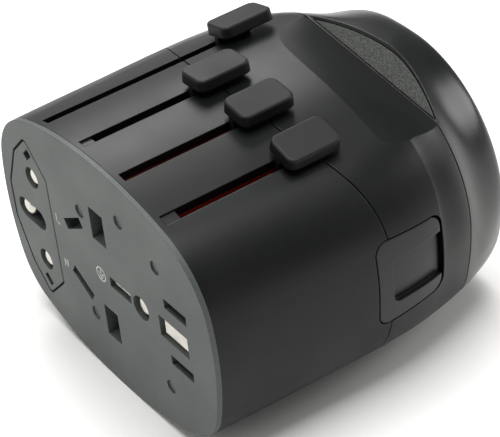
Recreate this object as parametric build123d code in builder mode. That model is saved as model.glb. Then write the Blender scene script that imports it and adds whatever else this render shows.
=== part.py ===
from build123d import *
import os
from math import asin, atan2, cos, degrees, hypot, radians, sin, sqrt

os.makedirs("parts", exist_ok=True)

# Universal travel adapter, in millimetres.  +X runs across the plug face toward the release
# button, +Y runs from the plug face into the body, +Z is up through the slider slots.
# The origin is the centre of the plug face.

# Outer form: a soft rectangle of four bulged sides, swelling in the middle and rounded at the rear
length = 70.2
half_width = 36.3
top_height = 25.7
bottom_depth = 25.2
top_bulge_radius = 77.0
bottom_bulge_radius = 74.0
side_bulge_radius = 49.0
side_bulge_height = 1.0
top_corner_radius = 16.0
bottom_corner_radius = 12.0
rear_start = 49.6
# How far the sides, the top and the bottom stand in from the largest section, and how much the
# upper corners grow, at even steps along the body and then along the rounded rear
body_stations = (
    (1.4, 0.0, 0.0, 0.0),
    (0.8, 0.0, 0.0, 0.0),
    (0.3, 0.0, 0.0, 0.0),
    (0.0, 0.0, 0.0, 0.0),
    (1.4, 0.2, 0.05, 1.0),
)
rear_stations = (
    (1.4, 0.2, 0.05, 1.0),
    (2.3, 0.4, 0.2, 3.6),
    (3.4, 0.75, 0.45, 7.6),
    (4.77, 1.25, 0.95, 11.6),
    (6.4, 2.0, 1.9, 11.2),
    (9.7, 3.6, 4.28, 8.4),
)

# Walls and fits
wall = 1.6
fit = 0.1
seam_width = 0.25
seam_depth = 0.4
rim_thickness = 1.0
face_thickness = 2.5
seam_front = 30.0
seam_radius = 94.0
cap_front = 57.5
cap_end_wall = 2.2

# Sliders: knob pad, stem and slot
pad_width = 7.5
pad_length = 11.5
pad_thickness = 2.2
pad_lift = 1.2
pad_corner = 1.8
pad_edge = 0.45
pad_rake = 4.0
stem_width = 1.2
stem_length = 7.1
stem_run = 0.25
slot_width = 2.2
slot_front = 2.2
lead_in_depth = 0.5
eu_knob_x, eu_knob_y = -18.0, 39.8
au_knob_x, au_knob_y = -4.9, 25.3
uk_knob_x, uk_knob_y = 8.05, 25.3
us_knob_x, us_knob_y = 20.3, 25.9
guided_stem_shift = 0.4
guide_thickness = 0.9
guide_slack = 0.15

# Plug patterns, X and Z on the plug face
uk_pin_x, uk_pin_z = 0.0, 11.11
uk_earth_x = 22.23
uk_pin_thick, uk_pin_wide = 4.0, 6.35
uk_earth_wide, uk_earth_thick = 8.0, 4.0
us_blade_x, us_blade_z = 23.76, 6.35
us_blade_wide, us_blade_thick = 6.3, 1.5
us_ground_x = 11.86
us_ground_radius = 2.35
au_blade_x, au_blade_z = -9.15, 6.86
au_blade_slant = 30.0
au_earth_x = 5.12
au_blade_wide, au_blade_thick = 6.35, 1.6
eu_pin_x, eu_pin_z = -23.05, 9.5
eu_pin_radius = 2.0
eu_earth_x = -28.0
eu_earth_travel = 5.0
hole_slack = 0.3

# Slider carriages, front faces at rest and thickness
plate_thickness = 2.5
blade_travel = 20.4
blade_plate_y = 23.1
uk_travel = 22.7
uk_plate_y = 48.6
uk_plate_thickness = 2.6
uk_metal_end = 23.2
uk_earth_tip = 0.5
uk_pin_tip = 5.5
blade_earth_tip = 0.6
blade_pin_tip = 3.4
eu_plate_y = 41.9
eu_tip = 0.4
tang_step = 0.4
tang_slack = 0.03
block_depth = 22.0
block_gap = 0.4

# Release button on the +X side
button_front, button_rear = 34.2, 49.0
button_front_half, button_rear_half = 9.2, 8.1
button_centre_z = 0.4
button_corner = 2.4
button_gap = 0.3
button_rear_gap = 0.7
button_thickness = 3.2
button_flange_wide = 1.4
button_travel = 1.8
panel_front = 37.3
panel_half = 4.8
panel_depth = 1.0
panel_corner = 1.6

# Release latch: a flat bar along X and its arm to the button
latch_end = 27.4
latch_y = 46.0
latch_width = 2.4

# Socket behind the rear cap: live and neutral one above the other, earth toward -X
socket_x = 6.5
socket_uk_z = 11.11
socket_eu_z = 9.5
socket_us_z = 6.35
socket_earth_x = socket_x - 22.23
socket_ground_x = socket_x - 11.86
carrier_y = 52.0
carrier_thickness = 2.0
sheet = 0.5
contact_end = length - 5.6
shutter_y = length - 4.3
shutter_thickness = 1.5
strip_z = -20.9
strip_front = 8.0
strip_width = 2.6

# Finger scoop in the top of the rear housing, and the grip pad behind it
scoop_front, scoop_middle, scoop_rear = 38.0, 48.0, 58.0
scoop_centre = 5.5
scoop_left, scoop_right = -24.0, 34.0
# Floor height at the left, in the centre and at the right of each scoop section
scoop_floor_front = (22.22, 25.75, 18.05)
scoop_floor_middle = (22.62, 24.91, 17.52)
scoop_floor_rear = (24.86, 21.04, 17.23)
grip_roll = 7.5
grip_lean = 1.3
grip_x, grip_z = 5.75, 21.0
grip_thickness = 1.2
grip_lip = 0.5
grip_slope = hypot(1, grip_lean)

big = 200.0


def across(y):
    return Plane.XZ.offset(-y)


def tangent_circle(centre_a, radius_a, centre_b, radius_b, radius, side):
    # centre of the small circle that touches two large ones from inside
    reach_a = radius_a - radius
    reach_b = radius_b - radius
    dx = centre_b[0] - centre_a[0]
    dz = centre_b[1] - centre_a[1]
    span = hypot(dx, dz)
    along = (reach_a ** 2 - reach_b ** 2 + span ** 2) / (2 * span)
    off = side * sqrt(reach_a ** 2 - along ** 2)
    return (centre_a[0] + (along * dx - off * dz) / span, centre_a[1] + (along * dz + off * dx) / span)


def bearing(origin, point):
    return degrees(atan2(point[1] - origin[1], point[0] - origin[0]))


def body_section(inset, side_in, top_in, bottom_in, corner_grow):
    top_r = top_bulge_radius - inset
    bottom_r = bottom_bulge_radius - inset
    side_r = side_bulge_radius - inset
    upper_r = top_corner_radius + corner_grow - inset
    lower_r = bottom_corner_radius - inset
    top_c = (0, top_height - top_in - top_bulge_radius)
    bottom_c = (0, bottom_bulge_radius - bottom_depth + bottom_in)
    side_c = (half_width - side_in - side_bulge_radius, side_bulge_height)
    upper_c = max(tangent_circle(top_c, top_r, side_c, side_r, upper_r, side) for side in (1, -1))
    lower_c = max(tangent_circle(bottom_c, bottom_r, side_c, side_r, lower_r, side) for side in (1, -1))
    a_top = bearing(top_c, upper_c)
    a_up = bearing(side_c, upper_c)
    a_low = bearing(side_c, lower_c)
    a_bottom = bearing(bottom_c, lower_c)
    with BuildLine() as outline:
        CenterArc(top_c, top_r, a_top, 180 - 2 * a_top)
        CenterArc(upper_c, upper_r, a_up, a_top - a_up)
        CenterArc(side_c, side_r, a_low, a_up - a_low)
        CenterArc(lower_c, lower_r, a_bottom, a_low - a_bottom)
        CenterArc(bottom_c, bottom_r, a_bottom, -180 - 2 * a_bottom)
        CenterArc((-lower_c[0], lower_c[1]), lower_r, 180 - a_low, a_low - a_bottom)
        CenterArc((-side_c[0], side_c[1]), side_r, 180 - a_up, a_up - a_low)
        CenterArc((-upper_c[0], upper_c[1]), upper_r, 180 - a_top, a_top - a_up)
    make_face(outline.edges())


def even_loft(stations, y0, y1, inset):
    sections = []
    for i, station in enumerate(stations):
        with BuildSketch(across(y0 + (y1 - y0) * i / (len(stations) - 1))) as section:
            body_section(inset, *station)
        sections.append(section.sketch)
    loft(sections)


def body_form(inset):
    even_loft(body_stations, 0, rear_start, inset)
    even_loft(rear_stations, rear_start, length, inset)


def box(x0, x1, y0, y1, z0, z1, mode=Mode.ADD):
    with BuildSketch(across(y0)) as outline:
        with Locations(((x0 + x1) / 2, (z0 + z1) / 2)):
            Rectangle(x1 - x0, z1 - z0)
    extrude(outline.sketch, amount=-(y1 - y0), mode=mode)


def keep(y0, y1):
    box(-big, big, y0, y1, -big, big, Mode.INTERSECT)


def rod(x, z, radius, y0, y1, mode=Mode.ADD):
    with BuildSketch(across(y0)) as outline:
        with Locations((x, z)):
            Circle(radius)
    extrude(outline.sketch, amount=-(y1 - y0), mode=mode)


def top_z(x):
    return top_height - top_bulge_radius + sqrt(top_bulge_radius ** 2 - x ** 2)


def knob_pad(x, y):
    tilt = asin(x / top_bulge_radius)
    origin = (x + pad_lift * sin(tilt), y + pad_length / 2, top_z(x) + pad_lift * cos(tilt))
    rest = Plane(origin=origin, x_dir=(cos(tilt), 0, -sin(tilt)), z_dir=(sin(tilt), 0, cos(tilt)))
    with BuildSketch(rest) as outline:
        RectangleRounded(pad_width, pad_length, pad_corner)
    extrude(outline.sketch, amount=pad_thickness, taper=pad_rake)
    fillet(faces().sort_by(SortBy.AREA)[-2:].sort_by(Axis.Z)[-1].edges(), pad_edge)


def knob_stem(stem_x, y, foot_z):
    # foot_z is where the stem leaves its carriage; its head stands in the pad
    head = top_z(abs(stem_x) + stem_width) + pad_lift + pad_thickness / 3
    box(stem_x - stem_width / 2, stem_x + stem_width / 2, y, y + stem_length, foot_z, head)


def pocketed_pad(x, y, stem_x):
    knob_pad(x, y)
    box(stem_x - stem_width / 2, stem_x + stem_width / 2, y, y + stem_length, 0,
        top_z(abs(stem_x) + stem_width) + pad_lift + pad_thickness / 3, Mode.SUBTRACT)


def slot_cut(x, y0, y1):
    with BuildSketch(Plane.XY.offset(top_height - top_corner_radius)) as outline:
        with Locations((x, (y0 + y1) / 2)):
            Rectangle(slot_width, y1 - y0)
    extrude(outline.sketch, amount=top_corner_radius + pad_lift, mode=Mode.SUBTRACT)


def knob_stem_x(x):
    return x - guided_stem_shift if x > 0 else x


with BuildPart() as outer_form:
    body_form(0)

with BuildPart() as inner_form:
    body_form(wall)

with BuildPart() as seam_form:
    body_form(seam_depth)

with BuildPart() as lining_form:
    body_form(wall + fit)

with BuildPart() as seam_ring:
    add(outer_form.part)
    add(seam_form.part, mode=Mode.SUBTRACT)

with BuildPart() as seam_tool:
    # everything behind the bowed seam between the front shell and the rear housing
    with BuildSketch(Plane.XY.offset(-big / 2)):
        with Locations((0, seam_front + seam_radius)):
            Circle(seam_radius)
    extrude(amount=big)


def scoop_section(left_z, centre_z, right_z):
    with BuildLine() as outline:
        floor = ThreePointArc((scoop_left, left_z), (scoop_centre, centre_z), (scoop_right, right_z))
        Polyline(floor @ 1, (scoop_right, big / 4), (scoop_left, big / 4), floor @ 0)
    make_face(outline.edges())


def grip_plane(depth):
    # lies this deep below the grip pad's face; local x follows its straight lower edge
    roll = radians(grip_roll)
    edge = Vector(cos(roll), 0, -sin(roll))
    up = Vector(sin(roll), grip_lean, cos(roll))
    face = Plane(origin=(grip_x, scoop_rear, grip_z), x_dir=edge, z_dir=edge.cross(up))
    return face.offset(-depth)


def grip_wedge(depth, down, mode):
    # the room in front of a plane this deep below the grip pad's face, above its lower edge
    roll = radians(grip_roll)
    origin = (grip_x, scoop_rear + depth * grip_slope, grip_z - down)
    side = Plane(origin=origin, x_dir=(0, 1, 0), z_dir=(cos(roll), 0, -sin(roll)))
    high = big / 10
    with BuildSketch(side) as outline:
        with BuildLine() as profile:
            Polyline((-high, 0), (0, 0), (high * grip_lean, high), (-high, high), close=True)
        make_face(profile.edges())
    extrude(outline.sketch, amount=big / 4, both=True, mode=mode)


with BuildPart() as scoop_tool:
    with BuildSketch(across(scoop_front)):
        scoop_section(*scoop_floor_front)
    with BuildSketch(across(scoop_middle)):
        scoop_section(*scoop_floor_middle)
    with BuildSketch(across(scoop_rear)):
        scoop_section(*scoop_floor_rear)
    loft()

with BuildPart() as rear_cavity:
    add(inner_form.part)
    add(scoop_tool.part.moved(Location((0, 0, -wall))), mode=Mode.SUBTRACT)


def plug_holes(slack):
    with Locations((uk_pin_x, uk_pin_z), (uk_pin_x, -uk_pin_z)):
        Rectangle(uk_pin_thick + 2 * slack, uk_pin_wide + 2 * slack)
    with Locations((uk_earth_x, 0)):
        Rectangle(uk_earth_wide + 3 * slack, uk_earth_thick + 2 * slack)
    with Locations((us_blade_x, us_blade_z), (us_blade_x, -us_blade_z)):
        Rectangle(us_blade_wide + 2 * slack, us_blade_thick + 2 * slack)
    with Locations((us_ground_x, 0)):
        Circle(us_ground_radius + slack / 2)
    with Locations((au_earth_x, 0)):
        Rectangle(au_blade_wide + 2 * slack, au_blade_thick + 2 * slack)
    for side in (1, -1):
        with Locations((au_blade_x, side * au_blade_z)):
            Rectangle(au_blade_wide + 2 * slack, au_blade_thick + 2 * slack, side * au_blade_slant)


def block_outline(grow):
    with BuildLine() as outline:
        Polyline(
            (-17.6, 11.7), (-23.6, 17.8), (-28.5, 12.8), (-32.3, 4.0), (-32.3, -4.0),
            (-28.5, -12.8), (-23.6, -17.8), (-17.6, -11.7), close=True,
        )
    make_face(outline.edges())
    fillet(vertices(), 1.0)
    if grow:
        offset(amount=grow, mode=Mode.REPLACE)


with BuildPart() as block_hole:
    with BuildSketch(across(-rim_thickness)):
        block_outline(block_gap)
    extrude(amount=-(face_thickness + 2 * rim_thickness))

with BuildPart() as face_plug:
    add(lining_form.part)
    keep(rim_thickness, face_thickness)

with BuildPart() as face_plate:
    add(outer_form.part)
    keep(0, rim_thickness)
    add(face_plug.part)
    add(block_hole.part, mode=Mode.SUBTRACT)
    with BuildSketch(across(-rim_thickness)):
        plug_holes(hole_slack)
    extrude(amount=-(face_thickness + 2 * rim_thickness), mode=Mode.SUBTRACT)
    with BuildSketch(across(0)):
        # moulding dimples, shallow and round
        with Locations((-5.9, 11.4), (8.1, 16.8), (18.9, 13.2), (-6.0, -12.1), (18.7, -13.8)):
            Circle(1.35)
    extrude(amount=-0.35, mode=Mode.SUBTRACT)
face_plate.part.label = "face_plate"
export_step(face_plate.part, "parts/face_plate.step")


def button_outline(grow_front, grow_side, grow_rear):
    # seen from +X: local x is +Y, local y is +Z
    front = button_front - grow_front
    rear = button_rear + grow_rear
    front_half = button_front_half + grow_side
    rear_half = button_rear_half + grow_side
    with BuildLine() as outline:
        Polyline(
            (front, button_centre_z + front_half), (rear, button_centre_z + rear_half),
            (rear, button_centre_z - rear_half), (front, button_centre_z - front_half), close=True,
        )
    make_face(outline.edges())
    fillet(vertices(), button_corner + grow_side)


with BuildPart() as button_hole:
    with BuildSketch(Plane.YZ.offset(half_width / 2)):
        button_outline(button_gap, button_gap, button_rear_gap)
    extrude(amount=half_width)

with BuildPart() as lead_ins:
    # shallow grooves in front of the through slots
    add(seam_ring.part)
    with BuildSketch(Plane.XY.offset(top_height - top_corner_radius)):
        for x in (au_knob_x, us_knob_x):
            with Locations((x, slot_front + slot_width)):
                Rectangle(slot_width, 2 * slot_width)
    extrude(amount=top_corner_radius + pad_lift, mode=Mode.INTERSECT)

slot_runs = (
    (eu_knob_x, slot_front, eu_knob_y + stem_length + stem_run),
    (au_knob_x, au_knob_y - blade_travel - stem_run, au_knob_y + stem_length + stem_run),
    (uk_knob_x, slot_front, uk_knob_y + stem_length + stem_run),
    (us_knob_x, us_knob_y - blade_travel - stem_run, us_knob_y + stem_length + stem_run),
)


def slider_slots():
    for x, y0, y1 in slot_runs:
        slot_cut(x, y0, y1)


with BuildPart() as front_ribs:
    add(outer_form.part)
    box(-14, 15, 22.8, 25.4, -big, strip_z, Mode.INTERSECT)

with BuildPart() as front_shell:
    add(outer_form.part)
    keep(rim_thickness, 2 * seam_front)
    add(inner_form.part, mode=Mode.SUBTRACT)
    add(front_ribs.part)
    add(seam_tool.part, mode=Mode.SUBTRACT)
    add(button_hole.part, mode=Mode.SUBTRACT)
    slider_slots()
    add(lead_ins.part, mode=Mode.SUBTRACT)
front_shell.part.label = "front_shell"
export_step(front_shell.part, "parts/front_shell.step")

with BuildPart() as seam_grooves:
    # hairline grooves along the housing's two seams
    add(seam_ring.part)
    add(seam_tool.part, mode=Mode.INTERSECT)
    with BuildSketch(Plane.XY.offset(-big / 2)):
        with Locations((0, seam_front + seam_radius)):
            Circle(seam_radius - seam_width)
    extrude(amount=big, mode=Mode.SUBTRACT)

with BuildPart() as cap_groove:
    add(seam_ring.part)
    keep(cap_front - seam_width, cap_front)

with BuildPart() as rear_ribs:
    # the floor rib under the strips, and the post that the button's spring pushes on
    box(-14, 15, 38.4, 41.4, -bottom_depth, strip_z)
    box(27.7, 28.9, 40.2, 44.2, -bottom_depth, 3.0)
    add(outer_form.part, mode=Mode.INTERSECT)

with BuildPart() as rear_housing:
    add(outer_form.part)
    keep(0, cap_front)
    add(seam_tool.part, mode=Mode.INTERSECT)
    add(rear_cavity.part, mode=Mode.SUBTRACT)
    add(rear_ribs.part)
    add(scoop_tool.part, mode=Mode.SUBTRACT)
    add(button_hole.part, mode=Mode.SUBTRACT)
    add(seam_grooves.part, mode=Mode.SUBTRACT)
    add(cap_groove.part, mode=Mode.SUBTRACT)
    slider_slots()
rear_housing.part.label = "rear_housing"
export_step(rear_housing.part, "parts/rear_housing.step")

# Screw positions, shared by the cap's bosses, the contact carrier and the screws
screw_spots = ((21.5, 9.5), (22.6, -11.4), (-21.5, 9.5), (-22.6, -11.4))
screw_radius = 1.25
screw_head_radius = 2.4
screw_length = 9.5
boss_radius = 3.0


def socket_windows(grow):
    for side in (1, -1):
        with Locations((socket_x, side * socket_uk_z)):
            Rectangle(4.6 + 2 * grow, 6.6 + 2 * grow)
        with Locations((socket_x, side * socket_eu_z)):
            Circle(2.6 + grow)
        with Locations((socket_x, side * socket_us_z)):
            Rectangle(7.0 + 2 * grow, 2.2 + 2 * grow)
    with Locations((socket_earth_x, 0)):
        Rectangle(9.0 + 2 * grow, 4.7 + 2 * grow)
    with Locations((socket_ground_x, 0)):
        Circle(2.6 + grow)


def window_cut(y0, y1, grow):
    with BuildSketch(across(y0)) as outline:
        socket_windows(grow)
    extrude(outline.sketch, amount=-(y1 - y0), mode=Mode.SUBTRACT)


with BuildPart() as cap_cavity:
    add(inner_form.part)
    keep(0, length - cap_end_wall)
    grip_wedge(grip_thickness + wall, grip_thickness + wall, Mode.SUBTRACT)

with BuildPart() as grip_room:
    # the recess of the grip pad, just inside the cap's rim
    body_form(grip_lip)
    with BuildSketch(grip_plane(grip_thickness + fit)):
        with Locations((0, big / 8)):
            Rectangle(big / 2, big / 4)
    extrude(amount=grip_thickness + fit + 1, mode=Mode.INTERSECT)

with BuildPart() as cap_bosses:
    for boss_x, boss_z in screw_spots:
        rod(boss_x, boss_z, boss_radius, carrier_y + carrier_thickness, length)
    add(outer_form.part, mode=Mode.INTERSECT)

with BuildPart() as rear_cap:
    add(outer_form.part)
    keep(cap_front, length)
    add(cap_cavity.part, mode=Mode.SUBTRACT)
    add(cap_bosses.part)
    for boss_x, boss_z in screw_spots:
        rod(boss_x, boss_z, screw_radius, carrier_y, carrier_y + screw_length, Mode.SUBTRACT)
    grip_wedge(0, 0, Mode.SUBTRACT)
    add(grip_room.part, mode=Mode.SUBTRACT)
    window_cut(shutter_y, length + 1, 0)
rear_cap.part.label = "rear_cap"
export_step(rear_cap.part, "parts/rear_cap.step")

with BuildPart() as grip_inlay:
    body_form(grip_lip + fit)
    keep(cap_front, length)
    with BuildSketch(grip_plane(grip_thickness)):
        with Locations((0, big / 8 + fit)):
            Rectangle(big / 2, big / 4)
    extrude(amount=grip_thickness, mode=Mode.INTERSECT)
grip_inlay.part.label = "grip_inlay"
export_step(grip_inlay.part, "parts/grip_inlay.step")

with BuildPart() as guide_floor:
    body_form(wall + fit + guide_thickness)

with BuildPart() as guide_plate:
    # coloured comb under the roof: its slots are narrower than the roof's on the +X side
    add(lining_form.part)
    add(guide_floor.part, mode=Mode.SUBTRACT)
    box(3.6, 25.2, 3.0, 37.0, 8.0, top_height, Mode.INTERSECT)
    for x in (knob_stem_x(uk_knob_x), knob_stem_x(us_knob_x)):
        half = stem_width / 2 + guide_slack
        box(x - half, x + half, 0, uk_knob_y + stem_length + 1, 0, top_height, Mode.SUBTRACT)
guide_plate.part.label = "guide_plate"
export_step(guide_plate.part, "parts/guide_plate.step")

with BuildPart() as contact_carrier:
    body_form(wall + fit)
    keep(carrier_y, carrier_y + carrier_thickness)
    box(-big, big, 0, length, 14.8, big, Mode.SUBTRACT)
    window_cut(0, length, 0.2)
    for boss_x, boss_z in screw_spots:
        rod(boss_x, boss_z, screw_radius + fit, 0, length, Mode.SUBTRACT)
    for x0 in (10.5, 4.0, -12.0):
        box(x0 - fit, x0 + strip_width + fit, 0, length, strip_z - 1, strip_z + sheet + 1, Mode.SUBTRACT)
contact_carrier.part.label = "contact_carrier"
export_step(contact_carrier.part, "parts/contact_carrier.step")

with BuildPart() as housing_screws:
    for boss_x, boss_z in screw_spots:
        rod(boss_x, boss_z, screw_radius - tang_slack, carrier_y - 0.2, carrier_y + screw_length - 1)
        rod(boss_x, boss_z, screw_head_radius, carrier_y - 1.7, carrier_y)
        box(boss_x - 1.6, boss_x + 1.6, carrier_y - 1.7, carrier_y - 1.1, boss_z - 0.3, boss_z + 0.3,
            Mode.SUBTRACT)
        box(boss_x - 0.3, boss_x + 0.3, carrier_y - 1.7, carrier_y - 1.1, boss_z - 1.6, boss_z + 1.6,
            Mode.SUBTRACT)
housing_screws.part.label = "housing_screws"
export_step(housing_screws.part, "parts/housing_screws.step")


def strip(x0, y0, y1):
    box(x0, x0 + strip_width, y0, y1, strip_z, strip_z + sheet)


web_y = carrier_y + carrier_thickness

with BuildPart() as line_bus:
    strip(10.5, strip_front, 25.6)
line_bus.part.label = "line_bus"
export_step(line_bus.part, "parts/line_bus.step")

with BuildPart() as neutral_bus:
    strip(4.0, strip_front, web_y)
neutral_bus.part.label = "neutral_bus"
export_step(neutral_bus.part, "parts/neutral_bus.step")

with BuildPart() as earth_bus:
    strip(-12.0, strip_front, web_y)
earth_bus.part.label = "earth_bus"
export_step(earth_bus.part, "parts/earth_bus.step")

with BuildPart() as line_contact:
    strip(10.5, 38.2, web_y + sheet)
    box(10.6, 13.1, web_y, web_y + sheet, strip_z, 15.2)
    box(2.2, 13.1, web_y, web_y + sheet, 4.6, 15.2)
    box(2.2, 2.2 + sheet, web_y, contact_end, 4.6, 15.2)
    box(10.4, 10.4 + sheet, web_y, contact_end, 4.6, 15.2)
    window_cut(0, length, 0.2)
line_contact.part.label = "line_contact"
export_step(line_contact.part, "parts/line_contact.step")

with BuildPart() as neutral_contact:
    box(4.0, 6.6, web_y, web_y + sheet, strip_z, -12)
    box(2.2, 10.3, web_y, web_y + sheet, -15.2, -4.6)
    box(2.2, 2.2 + sheet, web_y, contact_end, -15.2, -4.6)
    box(10.3 - sheet, 10.3, web_y, contact_end, -15.2, -4.6)
    window_cut(0, length, 0.05)
neutral_contact.part.label = "neutral_contact"
export_step(neutral_contact.part, "parts/neutral_contact.step")

with BuildPart() as earth_contact:
    box(-12.0, -9.4, web_y, web_y + sheet, strip_z, -3)
    box(-20.8, -2.2, web_y, web_y + sheet, -3.4, 3.4)
    box(-20.8, -2.2, web_y, contact_end, 2.9, 3.4)
    box(-20.8, -2.2, web_y, contact_end, -3.4, -2.9)
    window_cut(0, length, 0.2)
earth_contact.part.label = "earth_contact"
export_step(earth_contact.part, "parts/earth_contact.step")

# Fuse along Y in two spring clips that stand on the line strip
fuse_x = 11.8
fuse_radius = 2.5
fuse_y = 22.4
fuse_length = 20.0
clip_base = strip_z + sheet
fuse_z = clip_base + sheet + fuse_radius

with BuildPart() as fuse:
    rod(fuse_x, fuse_z, fuse_radius - 0.25, fuse_y, fuse_y + fuse_length)
    rod(fuse_x, fuse_z, fuse_radius, fuse_y, fuse_y + 5)
    rod(fuse_x, fuse_z, fuse_radius, fuse_y + fuse_length - 5, fuse_y + fuse_length)
fuse.part.label = "fuse"
export_step(fuse.part, "parts/fuse.step")

with BuildPart() as fuse_clips:
    for y in (fuse_y + 0.6, fuse_y + fuse_length - 3.8):
        reach = fuse_radius + 0.05
        box(fuse_x - reach - sheet, fuse_x + reach + sheet, y, y + 3.2, clip_base, clip_base + sheet)
        box(fuse_x - reach - sheet, fuse_x - reach, y, y + 3.2, clip_base, fuse_z + 1.5)
        box(fuse_x + reach, fuse_x + reach + sheet, y, y + 3.2, clip_base, fuse_z + 1.5)
fuse_clips.part.label = "fuse_clips"
export_step(fuse_clips.part, "parts/fuse_clips.step")

# Socket shutter: one plate with two flaps, pushed aside by the earth pin
with BuildPart() as socket_shutter:
    box(2.6, 10.2, shutter_y, shutter_y + shutter_thickness, -12.6, 12.6)
    box(3.9, 8.95, shutter_y, shutter_y + shutter_thickness, -14.55, 14.55)
    box(-2.0, 2.6, shutter_y, shutter_y + shutter_thickness, 3.6, 6.6)
    box(-2.0, 2.6, shutter_y, shutter_y + shutter_thickness, -6.6, -3.6)
socket_shutter.part.label = "socket_shutter"
export_step(socket_shutter.part, "parts/socket_shutter.step")


def coil(x0, y, z, radius, wire, pitch, height):
    # a helical spring along X
    with BuildLine(Plane(origin=(x0, y, z), x_dir=(0, 1, 0), z_dir=(1, 0, 0))) as path:
        Helix(pitch=pitch, height=height, radius=radius)
    start = path.line
    with BuildSketch(Plane(origin=start @ 0, z_dir=start % 0)) as section:
        Circle(wire)
    sweep(section.sketch, path=start, is_frenet=True)


with BuildPart() as shutter_spring:
    coil(20.0, shutter_y + shutter_thickness / 2, 0, 1.0, 0.22, 1.1, 5.5)
shutter_spring.part.label = "shutter_spring"
export_step(shutter_spring.part, "parts/shutter_spring.step")

with BuildPart() as button_spring:
    coil(29.3, 42.2, 0.4, 1.5, 0.25, 0.9, 3.2)
button_spring.part.label = "button_spring"
export_step(button_spring.part, "parts/button_spring.step")

# Release button: a skin that follows the side, a flange behind the wall and a recessed finger panel
with BuildPart() as button_core:
    body_form(button_thickness)

with BuildPart() as flange_form:
    body_form(wall + 2 * fit)

with BuildPart() as flange:
    add(flange_form.part)
    add(button_core.part, mode=Mode.SUBTRACT)
    with BuildSketch(Plane.YZ.offset(half_width / 2)):
        button_outline(button_flange_wide, button_flange_wide, button_flange_wide)
    extrude(amount=half_width, mode=Mode.INTERSECT)

with BuildPart() as panel_form:
    body_form(panel_depth)

with BuildPart() as panel_cut:
    # the room above the recessed finger panel
    add(outer_form.part)
    add(panel_form.part, mode=Mode.SUBTRACT)
    with BuildSketch(Plane.YZ.offset(half_width / 2)):
        with Locations(((panel_front + button_rear + panel_corner) / 2, button_centre_z - 0.25)):
            RectangleRounded(button_rear - panel_front + panel_corner, 2 * panel_half, panel_corner)
    extrude(amount=half_width, mode=Mode.INTERSECT)

with BuildPart() as release_button:
    add(outer_form.part)
    add(button_core.part, mode=Mode.SUBTRACT)
    with BuildSketch(Plane.YZ.offset(half_width / 2)):
        button_outline(0, 0, 0)
    extrude(amount=half_width, mode=Mode.INTERSECT)
    add(flange.part)
    add(panel_cut.part, mode=Mode.SUBTRACT)
    with BuildSketch(Plane.YZ.offset(half_width / 2)):
        with Locations((42.2, 0.4)):
            Circle(2.2)
    extrude(amount=half_width / 2 - 2.7, mode=Mode.SUBTRACT)
release_button.part.label = "release_button"
export_step(release_button.part, "parts/release_button.step")

with BuildPart() as release_latch:
    # a bar under the carriages, standing up to the button's back at its +X end
    box(-22.0, latch_end, latch_y, latch_y + latch_width, -16.6, -15.4)
    box(latch_end - 1.2, latch_end, latch_y, latch_y + latch_width, -16.6, -5.0)
    box(latch_end - 1.2, 32.6, latch_y, latch_y + latch_width, -6.4, -4.4)
    for x in (-22.0, -8.0, 8.0):
        box(x, x + 2.0, latch_y, latch_y + latch_width, -15.4, -15.0)
    add(release_button.part, mode=Mode.SUBTRACT)
release_latch.part.label = "release_latch"
export_step(release_latch.part, "parts/release_latch.step")

# EU slider: carriage on two long pins, the hex block that follows at half its pace, and the earth pin
with BuildPart() as eu_knob:
    pocketed_pad(eu_knob_x, eu_knob_y, eu_knob_x)
eu_knob.part.label = "eu_knob"
export_step(eu_knob.part, "parts/eu_knob.step")

with BuildPart() as eu_carriage:
    box(-30.6, -15.6, eu_plate_y, eu_plate_y + plate_thickness, -12.2, 12.2)
    box(-20.4, -15.6, eu_plate_y, eu_plate_y + plate_thickness, 12.0, 17.0)
    knob_stem(eu_knob_x, eu_knob_y, 14.2)
    for side in (1, -1):
        rod(eu_pin_x, side * eu_pin_z, eu_pin_radius - tang_step + tang_slack, 0, length, Mode.SUBTRACT)
    with BuildSketch(across(0)):
        with Locations((eu_earth_x + eu_earth_travel / 2, 0)):
            SlotCenterToCenter(eu_earth_travel + 0.4, 2 * eu_pin_radius + 0.2)
    extrude(amount=-length, mode=Mode.SUBTRACT)
eu_carriage.part.label = "eu_carriage"
export_step(eu_carriage.part, "parts/eu_carriage.step")


def round_pin(x, z, radius, tip, shoulder, tail, tang):
    rod(x, z, radius, tip, shoulder)
    fillet(faces().sort_by(Axis.Y)[0].edges(), radius / 2)
    rod(x, z, tang, shoulder, tail)


with BuildPart() as eu_pin_line:
    round_pin(eu_pin_x, eu_pin_z, eu_pin_radius, eu_tip, eu_plate_y,
              eu_plate_y + plate_thickness, eu_pin_radius - tang_step)
eu_pin_line.part.label = "eu_pin_line"
export_step(eu_pin_line.part, "parts/eu_pin_line.step")

with BuildPart() as eu_pin_neutral:
    round_pin(eu_pin_x, -eu_pin_z, eu_pin_radius, eu_tip, eu_plate_y,
              eu_plate_y + plate_thickness, eu_pin_radius - tang_step)
eu_pin_neutral.part.label = "eu_pin_neutral"
export_step(eu_pin_neutral.part, "parts/eu_pin_neutral.step")

with BuildPart() as eu_earth_pin:
    round_pin(eu_earth_x, 0, eu_pin_radius, eu_tip, eu_plate_y + plate_thickness + fit,
              eu_plate_y + plate_thickness + fit + 1.5, eu_pin_radius + 1.2)
eu_earth_pin.part.label = "eu_earth_pin"
export_step(eu_earth_pin.part, "parts/eu_earth_pin.step")

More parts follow.
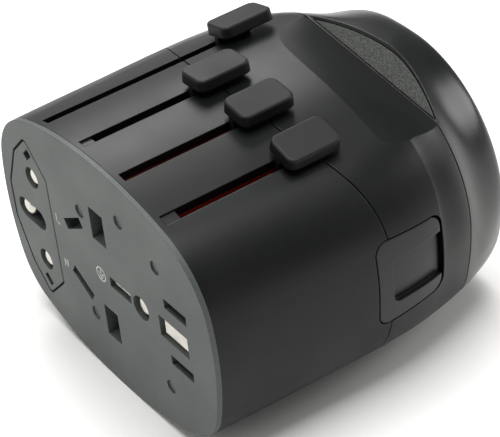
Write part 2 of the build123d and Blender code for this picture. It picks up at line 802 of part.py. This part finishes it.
with BuildPart() as eu_block:
    with BuildSketch(across(0)):
        block_outline(0)
    extrude(amount=-block_depth)
    fillet(faces().sort_by(Axis.Y)[0].edges(), 0.25)
    for side in (1, -1):
        rod(eu_pin_x, side * eu_pin_z, eu_pin_radius + 0.2, 0, length, Mode.SUBTRACT)
    with BuildSketch(across(0)):
        with Locations((eu_earth_x + eu_earth_travel / 2, 0)):
            SlotCenterToCenter(eu_earth_travel + 0.2, 2 * eu_pin_radius + 0.4)
    extrude(amount=-length, mode=Mode.SUBTRACT)
    with BuildSketch(across(0)):
        # slots for the catches that hold the block on its guides
        with Locations((-23.4, 14.5)):
            Rectangle(2.5, 1.6, 45)
        with Locations((-23.4, -14.5)):
            Rectangle(2.5, 1.6, -45)
    extrude(amount=-6, mode=Mode.SUBTRACT)
eu_block.part.label = "eu_block"
export_step(eu_block.part, "parts/eu_block.step")


# AU slider
with BuildPart() as au_knob:
    pocketed_pad(au_knob_x, au_knob_y, au_knob_x)
au_knob.part.label = "au_knob"
export_step(au_knob.part, "parts/au_knob.step")

with BuildPart() as au_carriage:
    box(-12.6, 8.7, blade_plate_y, blade_plate_y + plate_thickness, -10.4, 10.4)
    box(au_knob_x - 2.0, au_knob_x + 2.0, blade_plate_y, blade_plate_y + plate_thickness, 10.0, 15.0)
    box(au_knob_x - stem_width / 2, au_knob_x + stem_width / 2, blade_plate_y + 1,
        au_knob_y + stem_length, 6.0, 18.0)
    knob_stem(au_knob_x, au_knob_y, 14.0)
    for side in (1, -1):
        box(-2.3, 2.3, 0, length, side * uk_pin_z - 3.5, side * uk_pin_z + 3.5, Mode.SUBTRACT)
        with BuildSketch(across(0)):
            with Locations((au_blade_x, side * au_blade_z)):
                Rectangle(au_blade_wide, au_blade_thick, side * au_blade_slant)
        extrude(amount=-(blade_plate_y + plate_thickness), mode=Mode.SUBTRACT)
    box(au_earth_x - au_blade_wide / 2, au_earth_x + au_blade_wide / 2, 0, length,
        -au_blade_thick / 2, au_blade_thick / 2, Mode.SUBTRACT)
au_carriage.part.label = "au_carriage"
export_step(au_carriage.part, "parts/au_carriage.step")


def blade(x, z, wide, thick, slant, tip):
    tail = blade_plate_y + plate_thickness
    with BuildSketch(across(tip)) as outline:
        with Locations((x, z)):
            Rectangle(wide, thick, slant)
    extrude(outline.sketch, amount=-(tail - tip))
    chamfer(faces().sort_by(Axis.Y)[0].edges(), thick / 5)


with BuildPart() as au_blade_line:
    blade(au_blade_x, au_blade_z, au_blade_wide, au_blade_thick, au_blade_slant, blade_pin_tip)
au_blade_line.part.label = "au_blade_line"
export_step(au_blade_line.part, "parts/au_blade_line.step")

with BuildPart() as au_blade_neutral:
    blade(au_blade_x, -au_blade_z, au_blade_wide, au_blade_thick, -au_blade_slant, blade_pin_tip)
au_blade_neutral.part.label = "au_blade_neutral"
export_step(au_blade_neutral.part, "parts/au_blade_neutral.step")

with BuildPart() as au_blade_earth:
    blade(au_earth_x, 0, au_blade_wide, au_blade_thick, 0, blade_earth_tip)
au_blade_earth.part.label = "au_blade_earth"
export_step(au_blade_earth.part, "parts/au_blade_earth.step")

# US slider
with BuildPart() as us_knob:
    pocketed_pad(us_knob_x, us_knob_y, knob_stem_x(us_knob_x))
us_knob.part.label = "us_knob"
export_step(us_knob.part, "parts/us_knob.step")

with BuildPart() as us_carriage:
    us_stem_x = knob_stem_x(us_knob_x)
    box(9.5, 28.2, blade_plate_y, blade_plate_y + plate_thickness, -9.6, 9.6)
    box(17.6, big, 0, length, -2.8, 2.8, Mode.SUBTRACT)
    box(us_stem_x - 2.0, us_stem_x + 2.0, blade_plate_y, blade_plate_y + plate_thickness, 9.0, 14.0)
    box(us_stem_x - stem_width / 2, us_stem_x + stem_width / 2, blade_plate_y + 1,
        us_knob_y + stem_length, 8.4, 16.0)
    knob_stem(us_stem_x, us_knob_y, 12.0)
    for side in (1, -1):
        box(us_blade_x - us_blade_wide / 2, us_blade_x + us_blade_wide / 2, 0, length,
            side * us_blade_z - us_blade_thick / 2, side * us_blade_z + us_blade_thick / 2, Mode.SUBTRACT)
    rod(us_ground_x, 0, us_ground_radius - tang_step + tang_slack, 0, length, Mode.SUBTRACT)
us_carriage.part.label = "us_carriage"
export_step(us_carriage.part, "parts/us_carriage.step")

with BuildPart() as us_blade_line:
    blade(us_blade_x, us_blade_z, us_blade_wide, us_blade_thick, 0, blade_pin_tip)
us_blade_line.part.label = "us_blade_line"
export_step(us_blade_line.part, "parts/us_blade_line.step")

with BuildPart() as us_blade_neutral:
    blade(us_blade_x, -us_blade_z, us_blade_wide, us_blade_thick, 0, blade_pin_tip)
us_blade_neutral.part.label = "us_blade_neutral"
export_step(us_blade_neutral.part, "parts/us_blade_neutral.step")

with BuildPart() as us_ground_pin:
    round_pin(us_ground_x, 0, us_ground_radius, blade_earth_tip, blade_plate_y,
              blade_plate_y + plate_thickness, us_ground_radius - tang_step)
us_ground_pin.part.label = "us_ground_pin"
export_step(us_ground_pin.part, "parts/us_ground_pin.step")

# UK slider
with BuildPart() as uk_knob:
    pocketed_pad(uk_knob_x, uk_knob_y, knob_stem_x(uk_knob_x))
uk_knob.part.label = "uk_knob"
export_step(uk_knob.part, "parts/uk_knob.step")

with BuildPart() as uk_carriage:
    uk_stem_x = knob_stem_x(uk_knob_x)
    back = uk_plate_y + uk_plate_thickness
    box(-2.9, 2.9, uk_plate_y, back, -14.8, 19.0)
    box(-2.9, 27.0, uk_plate_y, back, -3.6, 3.6)
    box(-2.9, 9.6, uk_plate_y, back, 15.4, 19.0)
    box(5.6, 9.6, uk_knob_y, back, 15.4, 19.0)
    knob_stem(uk_stem_x, uk_knob_y, 18.0)
    for side in (1, -1):
        box(-uk_pin_thick / 2, uk_pin_thick / 2, uk_metal_end, uk_plate_y,
            side * uk_pin_z - uk_pin_wide / 2, side * uk_pin_z + uk_pin_wide / 2)
    box(uk_earth_x - uk_earth_wide / 2, uk_earth_x + uk_earth_wide / 2, uk_metal_end, uk_plate_y,
        -uk_earth_thick / 2, uk_earth_thick / 2)
uk_carriage.part.label = "uk_carriage"
export_step(uk_carriage.part, "parts/uk_carriage.step")


def uk_pin(x, z, wide, high, tip):
    box(x - wide / 2, x + wide / 2, tip, uk_metal_end, z - high / 2, z + high / 2)
    chamfer(faces().sort_by(Axis.Y)[0].edges(), 0.6)


with BuildPart() as uk_pin_line:
    uk_pin(uk_pin_x, uk_pin_z, uk_pin_thick, uk_pin_wide, uk_pin_tip)
uk_pin_line.part.label = "uk_pin_line"
export_step(uk_pin_line.part, "parts/uk_pin_line.step")

with BuildPart() as uk_pin_neutral:
    uk_pin(uk_pin_x, -uk_pin_z, uk_pin_thick, uk_pin_wide, uk_pin_tip)
uk_pin_neutral.part.label = "uk_pin_neutral"
export_step(uk_pin_neutral.part, "parts/uk_pin_neutral.step")

with BuildPart() as uk_pin_earth:
    uk_pin(uk_earth_x, 0, uk_earth_wide, uk_earth_thick, uk_earth_tip)
uk_pin_earth.part.label = "uk_pin_earth"
export_step(uk_pin_earth.part, "parts/uk_pin_earth.step")
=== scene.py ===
import math
import bpy
import bmesh
from mathutils import Matrix, Vector


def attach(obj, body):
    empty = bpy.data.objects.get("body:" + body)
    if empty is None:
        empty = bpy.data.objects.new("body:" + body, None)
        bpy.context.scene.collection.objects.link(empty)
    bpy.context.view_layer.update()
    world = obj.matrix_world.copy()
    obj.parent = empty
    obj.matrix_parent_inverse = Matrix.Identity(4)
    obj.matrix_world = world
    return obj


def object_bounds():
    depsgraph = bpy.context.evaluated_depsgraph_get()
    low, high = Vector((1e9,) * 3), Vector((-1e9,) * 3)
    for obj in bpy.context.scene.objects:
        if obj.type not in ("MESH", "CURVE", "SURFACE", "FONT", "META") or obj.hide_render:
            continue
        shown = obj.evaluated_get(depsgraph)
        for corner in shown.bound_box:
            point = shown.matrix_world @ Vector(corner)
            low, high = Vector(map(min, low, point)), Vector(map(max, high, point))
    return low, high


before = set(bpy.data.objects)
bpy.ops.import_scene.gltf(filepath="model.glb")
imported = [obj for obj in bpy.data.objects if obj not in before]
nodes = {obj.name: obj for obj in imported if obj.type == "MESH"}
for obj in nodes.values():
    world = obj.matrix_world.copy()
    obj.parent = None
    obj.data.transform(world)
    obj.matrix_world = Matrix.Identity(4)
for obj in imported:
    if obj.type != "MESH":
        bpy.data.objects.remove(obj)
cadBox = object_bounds()
mm = 0.001
print("frame loaded:", len(nodes), "nodes")


def srgb(hexText):
    # hex colour as seen on screen, turned linear for the shader
    channels = [int(hexText[i:i + 2], 16) / 255 for i in (1, 3, 5)]
    linear = [c / 12.92 if c <= 0.04045 else ((c + 0.055) / 1.055) ** 2.4 for c in channels]
    return (*linear, 1.0)


def addNode(tree, kind, links=None, **values):
    # one node: sockets by name (spaces as _), anything else is set as a property
    node = tree.nodes.new(kind)
    for key, value in values.items():
        socketName = key.replace("_", " ")
        if socketName in node.inputs:
            node.inputs[socketName].default_value = value
        else:
            setattr(node, key, value)
    for target, source in (links or {}).items():
        tree.links.new(source, node.inputs[target.replace("_", " ")])
    return node


def newTree(name):
    material = bpy.data.materials.new(name)
    material.use_nodes = True
    tree = material.node_tree
    tree.nodes.clear()
    return material, tree


def noiseAt(tree, coords, sizeMm, detail=2.0, rough=0.5, stretch=(1, 1, 1)):
    # noise with features about sizeMm across, on object coordinates in metres
    scale = tuple(1 / (sizeMm * mm * longer) for longer in stretch)
    mapping = addNode(tree, "ShaderNodeMapping", {"Vector": coords}, Scale=scale)
    return addNode(tree, "ShaderNodeTexNoise", {"Vector": mapping.outputs["Vector"]},
                   Scale=1.0, Detail=detail, Roughness=rough)


def ramp(tree, source, low, high, outLow, outHigh):
    node = addNode(tree, "ShaderNodeMapRange", {"Value": source})
    node.inputs["From Min"].default_value = low
    node.inputs["From Max"].default_value = high
    node.inputs["To Min"].default_value = outLow
    node.inputs["To Max"].default_value = outHigh
    return node.outputs["Result"]


def multiply(tree, value, factor):
    # factor is a number or another node's output
    node = tree.nodes.new("ShaderNodeMath")
    node.operation = "MULTIPLY"
    tree.links.new(value, node.inputs[0])
    if isinstance(factor, (int, float)):
        node.inputs[1].default_value = factor
    else:
        tree.links.new(factor, node.inputs[1])
    return node.outputs[0]


def mixColour(tree, factor, first, second):
    # blends two fixed colours by a node's output
    node = tree.nodes.new("ShaderNodeMix")
    node.data_type = "RGBA"
    sockets = {socket.name: socket for socket in node.inputs if socket.enabled}
    tree.links.new(factor, sockets["Factor"])
    sockets["A"].default_value = first
    sockets["B"].default_value = second
    return next(socket for socket in node.outputs if socket.enabled)


# How far a noise output is read from its dark end to its light end
noiseSpan = {"grain": (0.35, 0.65), "cloud": (0.3, 0.7)}
bevelSamples = 6


def mouldedPlastic(name, look):
    # Injection-moulded plastic: the mould's spark-eroded grain is a fine bump, handling is a slow
    # change of roughness, and the edges are soft where the tool was broken by hand
    look = {**plasticDefaults, **look}
    material, tree = newTree(name)
    coords = addNode(tree, "ShaderNodeTexCoord").outputs["Object"]
    grain = noiseAt(tree, coords, look["grainMm"], look["grainDetail"],
                    look["grainRough"]).outputs[0]
    cloud = noiseAt(tree, coords, look["cloudMm"]).outputs[0]
    edge = addNode(tree, "ShaderNodeBevel", samples=bevelSamples, Radius=look["edgeMm"] * mm)
    # the mould is etched less deeply above the shoulder line, so the top is smoother
    height = addNode(tree, "ShaderNodeSeparateXYZ", {"Vector": coords}).outputs["Z"]
    etched = ramp(tree, height, (look["shoulderMm"] - look["shoulderFadeMm"]) * mm,
                  (look["shoulderMm"] + look["shoulderFadeMm"]) * mm, 1.0, look["aboveShoulder"])
    bump = addNode(tree, "ShaderNodeBump",
                   {"Height": grain, "Normal": edge.outputs["Normal"],
                    "Strength": multiply(tree, etched, look["grainStrength"])},
                   Distance=look["grainDepthMm"] * mm)
    handled = ramp(tree, cloud, *noiseSpan["cloud"], look["roughness"] - look["spread"],
                   look["roughness"] + look["spread"])
    roughness = multiply(tree, handled, ramp(tree, etched, 0.0, 1.0, look["polish"], 1.0))
    tone = ramp(tree, grain, *noiseSpan["grain"], 0.0, 1.0)
    colour = mixColour(tree, tone, srgb(look["dark"]), srgb(look["light"]))
    shader = addNode(tree, "ShaderNodeBsdfPrincipled",
                     {"Base_Color": colour, "Roughness": roughness,
                      "Normal": bump.outputs["Normal"]},
                     Specular_IOR_Level=look["specular"])
    addNode(tree, "ShaderNodeOutputMaterial", {"Surface": shader.outputs["BSDF"]})
    return material


def platedMetal(name, look):
    # Drawn or rolled metal: faint lines along the draw show in the roughness and the bump
    look = {**metalDefaults, **look}
    material, tree = newTree(name)
    coords = addNode(tree, "ShaderNodeTexCoord").outputs["Object"]
    lines = noiseAt(tree, coords, look["lineMm"], look["lineDetail"],
                    stretch=look["stretch"]).outputs[0]
    cloud = noiseAt(tree, coords, look["cloudMm"]).outputs[0]
    edge = addNode(tree, "ShaderNodeBevel", samples=bevelSamples, Radius=look["edgeMm"] * mm)
    bump = addNode(tree, "ShaderNodeBump", {"Height": lines, "Normal": edge.outputs["Normal"]},
                   Strength=look["lineStrength"], Distance=look["lineDepthMm"] * mm)
    roughness = ramp(tree, lines, *noiseSpan["grain"], look["roughness"] - look["smoother"],
                     look["roughness"] + look["rougher"])
    tone = ramp(tree, cloud, *noiseSpan["grain"], 0.0, 1.0)
    colour = mixColour(tree, tone, srgb(look["dark"]), srgb(look["light"]))
    shader = addNode(tree, "ShaderNodeBsdfPrincipled",
                     {"Base_Color": colour, "Roughness": roughness,
                      "Normal": bump.outputs["Normal"]},
                     Metallic=1.0)
    addNode(tree, "ShaderNodeOutputMaterial", {"Surface": shader.outputs["BSDF"]})
    return material


# Looks shared by every plastic and every metal, unless a finish below gives its own
plasticDefaults = {"cloudMm": 14, "edgeMm": 0.2, "grainDetail": 3.0, "grainRough": 0.65,
                   "shoulderMm": 500, "shoulderFadeMm": 1, "aboveShoulder": 1.0, "polish": 0.75}
metalDefaults = {"cloudMm": 5.0, "edgeMm": 0.2, "lineDetail": 3.0, "lineStrength": 0.25,
                 "lineDepthMm": 0.01, "smoother": 0.06, "rougher": 0.08}
plastics = {
    "face": {"dark": "#3d4240", "light": "#4c514e", "grainMm": 0.35, "grainStrength": 0.35,
             "grainDepthMm": 0.03, "roughness": 0.5, "spread": 0.05, "edgeMm": 0.15,
             "specular": 0.4},
    "shell": {"dark": "#050707", "light": "#090b0a", "grainMm": 0.35, "grainStrength": 0.7,
              "grainDepthMm": 0.03, "roughness": 0.46, "spread": 0.05, "edgeMm": 0.25,
              "specular": 0.25, "shoulderMm": 21, "aboveShoulder": 0.25},
    "housing": {"dark": "#050707", "light": "#090b0a", "grainMm": 0.35, "grainStrength": 0.6,
                "grainDepthMm": 0.03, "roughness": 0.44, "spread": 0.05, "edgeMm": 0.3,
                "specular": 0.25, "shoulderMm": 19, "aboveShoulder": 0.25},
    "button": {"dark": "#0c0f0e", "light": "#131614", "grainMm": 0.3, "grainStrength": 0.4,
               "grainDepthMm": 0.02, "roughness": 0.42, "spread": 0.04, "edgeMm": 0.4,
               "specular": 0.35},
    "cap": {"dark": "#070909", "light": "#0c0e0e", "grainMm": 0.5, "grainStrength": 0.15,
            "grainDepthMm": 0.02, "roughness": 0.3, "spread": 0.04, "edgeMm": 0.4,
            "specular": 0.38},
    "knob": {"dark": "#060807", "light": "#0e100f", "grainMm": 0.25, "grainStrength": 0.6,
             "grainDepthMm": 0.03, "roughness": 0.5, "spread": 0.05, "edgeMm": 0.5,
             "specular": 0.28},
    "grip": {"dark": "#1c1f1d", "light": "#4a4c47", "grainMm": 0.4, "grainStrength": 1.0,
             "grainDepthMm": 0.12, "roughness": 0.6, "spread": 0.05, "edgeMm": 0.2,
             "specular": 0.45},
    "inner": {"dark": "#060707", "light": "#0b0c0c", "grainMm": 0.3, "grainStrength": 0.3,
              "grainDepthMm": 0.02, "roughness": 0.5, "spread": 0.05, "specular": 0.3},
    "guide": {"dark": "#5c0e0c", "light": "#7c1613", "grainMm": 0.3, "grainStrength": 0.3,
              "grainDepthMm": 0.02, "roughness": 0.35, "spread": 0.05, "specular": 0.4},
    "ceramic": {"dark": "#d8d2c4", "light": "#e6e1d6", "grainMm": 0.3, "grainStrength": 0.1,
                "grainDepthMm": 0.01, "roughness": 0.2, "spread": 0.03, "specular": 0.5},
    "ink": {"dark": "#a9ada9", "light": "#bfc2be", "grainMm": 0.15, "grainStrength": 0.2,
            "grainDepthMm": 0.01, "roughness": 0.6, "spread": 0.05, "edgeMm": 0.05,
            "specular": 0.3},
}
metals = {
    "pin": {"dark": "#bdb9b0", "light": "#d6d3cb", "lineMm": 0.12, "stretch": (1, 60, 1),
            "roughness": 0.2},
    "contact": {"dark": "#b08a3e", "light": "#caa458", "lineMm": 0.15, "stretch": (1, 40, 1),
                "roughness": 0.3},
    "steel": {"dark": "#8d8f90", "light": "#aaacad", "lineMm": 0.15, "stretch": (1, 20, 1),
              "roughness": 0.3},
}
facePlastic = mouldedPlastic("mouldedAbsFace", plastics["face"])
shellPlastic = mouldedPlastic("mouldedPcShell", plastics["shell"])
housingPlastic = mouldedPlastic("mouldedPcHousing", plastics["housing"])
capPlastic = mouldedPlastic("polishedPcCap", plastics["cap"])
knobPlastic = mouldedPlastic("mouldedAbsKnob", plastics["knob"])
buttonPlastic = mouldedPlastic("mouldedPcButton", plastics["button"])
markInk = mouldedPlastic("greyPadPrintInk", plastics["ink"])
gripPlastic = mouldedPlastic("coarseGrainAbsGrip", plastics["grip"])
innerPlastic = mouldedPlastic("mouldedPaInner", plastics["inner"])
guidePlastic = mouldedPlastic("redMouldedAbsGuide", plastics["guide"])
fuseCeramic = mouldedPlastic("glazedCeramicFuse", plastics["ceramic"])
pinMetal = platedMetal("nickelPlatedBrassPin", metals["pin"])
contactMetal = platedMetal("rolledBrassContact", metals["contact"])
steelMetal = platedMetal("springSteel", metals["steel"])

finishes = {
    facePlastic: ["face_plate", "eu_block"],
    shellPlastic: ["front_shell"],
    housingPlastic: ["rear_housing"],
    buttonPlastic: ["release_button"],
    capPlastic: ["rear_cap"],
    gripPlastic: ["grip_inlay"],
    knobPlastic: ["eu_knob", "au_knob", "us_knob", "uk_knob"],
    innerPlastic: ["eu_carriage", "au_carriage", "us_carriage", "uk_carriage", "contact_carrier",
                   "release_latch", "socket_shutter"],
    guidePlastic: ["guide_plate"],
    fuseCeramic: ["fuse"],
    pinMetal: ["eu_pin_line", "eu_pin_neutral", "eu_earth_pin", "au_blade_line",
               "au_blade_neutral", "au_blade_earth", "us_blade_line", "us_blade_neutral",
               "us_ground_pin", "uk_pin_line", "uk_pin_neutral", "uk_pin_earth"],
    contactMetal: ["line_bus", "neutral_bus", "earth_bus", "line_contact", "neutral_contact",
                   "earth_contact", "fuse_clips"],
    steelMetal: ["housing_screws", "shutter_spring", "button_spring"],
}
for material, names in finishes.items():
    for name in names:
        part = nodes[name]
        part.data.materials.clear()
        part.data.materials.append(material)
print("materials assigned")

# Pole letters and the earth sign, pad-printed on the face as thin strokes (X, Z in mm)
printLook = {"stroke": 0.28, "height": 0.04, "ringSteps": 40}


def strokeMark(name, strokes, ring=None):
    # each stroke is a thin bar between two points; ring is (x, z, radius)
    built = bmesh.new()
    half = printLook["stroke"] / 2 * mm
    height = printLook["height"] * mm
    for (x0, z0), (x1, z1) in strokes:
        start, end = Vector((x0, 0, z0)) * mm, Vector((x1, 0, z1)) * mm
        along = (end - start).normalized() * half
        aside = Vector((-along.z, 0, along.x))
        corners = [start - along + aside, end + along + aside,
                   end + along - aside, start - along - aside]
        flat = built.faces.new([built.verts.new(corner) for corner in corners])
        raised = bmesh.ops.extrude_face_region(built, geom=[flat])
        lifted = [vert for vert in raised["geom"] if isinstance(vert, bmesh.types.BMVert)]
        bmesh.ops.translate(built, verts=lifted, vec=(0, -height, 0))
    if ring:
        x, z, radius = (value * mm for value in ring)
        section = [built.verts.new((x + radius + across, back, z))
                   for across, back in ((half, 0), (half, -height), (-half, -height), (-half, 0))]
        edges = [built.edges.new((section[i - 1], section[i])) for i in range(4)]
        bmesh.ops.spin(built, geom=section + edges, cent=(x, 0, z), axis=(0, 1, 0),
                       angle=math.tau, steps=printLook["ringSteps"], use_merge=True)
    bmesh.ops.recalc_face_normals(built, faces=built.faces)
    mesh = bpy.data.meshes.new(name)
    built.to_mesh(mesh)
    built.free()
    mesh.materials.append(markInk)
    mark = bpy.data.objects.new(name, mesh)
    bpy.context.collection.objects.link(mark)
    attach(mark, "housing")


marks = {
    # name: strokes as pairs of points, ring as centre and radius
    "liveMark": ([((-15.6, 5.5), (-15.6, 3.7)), ((-15.6, 3.7), (-14.6, 3.7))], None),
    "neutralMark": ([((-15.2, -6.2), (-15.2, -4.4)), ((-15.2, -4.4), (-14.1, -6.2)),
                     ((-14.1, -6.2), (-14.1, -4.4))], None),
    "earthMark": ([((-1.4, 0.8), (-1.4, -0.1)), ((-2.2, -0.1), (-0.6, -0.1)),
                   ((-1.95, -0.6), (-0.85, -0.6)), ((-1.65, -1.1), (-1.15, -1.1))],
                  (-1.4, -0.2, 1.45)),
}
for markName, (strokes, ring) in marks.items():
    strokeMark(markName, strokes, ring)
print("printed marks built")

floorLook = {"halfSize": 2.0, "colour": "#f4f4f2", "roughness": 0.8}
floorMesh = bpy.data.meshes.new("floor")
builder = bmesh.new()
bmesh.ops.create_grid(builder, x_segments=1, y_segments=1, size=floorLook["halfSize"])
builder.to_mesh(floorMesh)
builder.free()
floor = bpy.data.objects.new("floor", floorMesh)
floor.location.z = cadBox[0][2]
bpy.context.collection.objects.link(floor)
floorMaterial, floorTree = newTree("paleFloor")
floorShader = addNode(floorTree, "ShaderNodeBsdfPrincipled", Base_Color=srgb(floorLook["colour"]),
                      Roughness=floorLook["roughness"])
addNode(floorTree, "ShaderNodeOutputMaterial", {"Surface": floorShader.outputs["BSDF"]})
floorMesh.materials.append(floorMaterial)

world = bpy.data.worlds.new("studio")
world.use_nodes = True
bpy.context.scene.world = world
worldLook = {"colour": "#ffffff", "strength": 0.25}
worldTree = world.node_tree
worldTree.nodes.clear()
background = addNode(worldTree, "ShaderNodeBackground", Color=srgb(worldLook["colour"]),
                     Strength=worldLook["strength"])
addNode(worldTree, "ShaderNodeOutputWorld", {"Surface": background.outputs["Background"]})

lightAim = (0, 0.03, 0)
lights = {
    # name: position (m), size (m), watts
    "top": ((0.0, 0.0, 0.85), 0.6, 8.5),
    "front": ((-0.3, -0.7, 0.3), 0.5, 1.5),
    "rear": ((0.2, 0.8, 0.34), 0.35, 2.6),
    "left": ((-0.6, 0.3, 0.5), 0.4, 3.0),
}
for lightName, (place, size, power) in lights.items():
    lamp = bpy.data.lights.new(lightName, "AREA")
    lamp.size = size
    lamp.energy = power
    lampObject = bpy.data.objects.new(lightName, lamp)
    lampObject.location = place
    aim = Vector(lightAim) - Vector(place)
    lampObject.rotation_euler = aim.to_track_quat("-Z", "Y").to_euler()
    bpy.context.collection.objects.link(lampObject)

cameraLook = {
    "place": (0.2823, -0.1411, 0.2450),
    "right": (0.5767, 0.8118, -0.0911),
    "up": (-0.4489, 0.4081, 0.7949),
    "lens": 160.1,
    "sensor": 36.0,
    "nearest": 0.01,
}
camera = bpy.data.cameras.new("camera")
camera.lens = cameraLook["lens"]
camera.sensor_width = cameraLook["sensor"]
camera.clip_start = cameraLook["nearest"]
cameraObject = bpy.data.objects.new("camera", camera)
right = Vector(cameraLook["right"]).normalized()
up = Vector(cameraLook["up"])
up = (up - up.dot(right) * right).normalized()
turn = Matrix((right, up, right.cross(up))).transposed()
cameraObject.matrix_world = Matrix.Translation(cameraLook["place"]) @ turn.to_4x4()
bpy.context.collection.objects.link(cameraObject)
bpy.context.scene.camera = cameraObject
bpy.context.scene.view_settings.view_transform = "Standard"
print("stage, light and camera set")
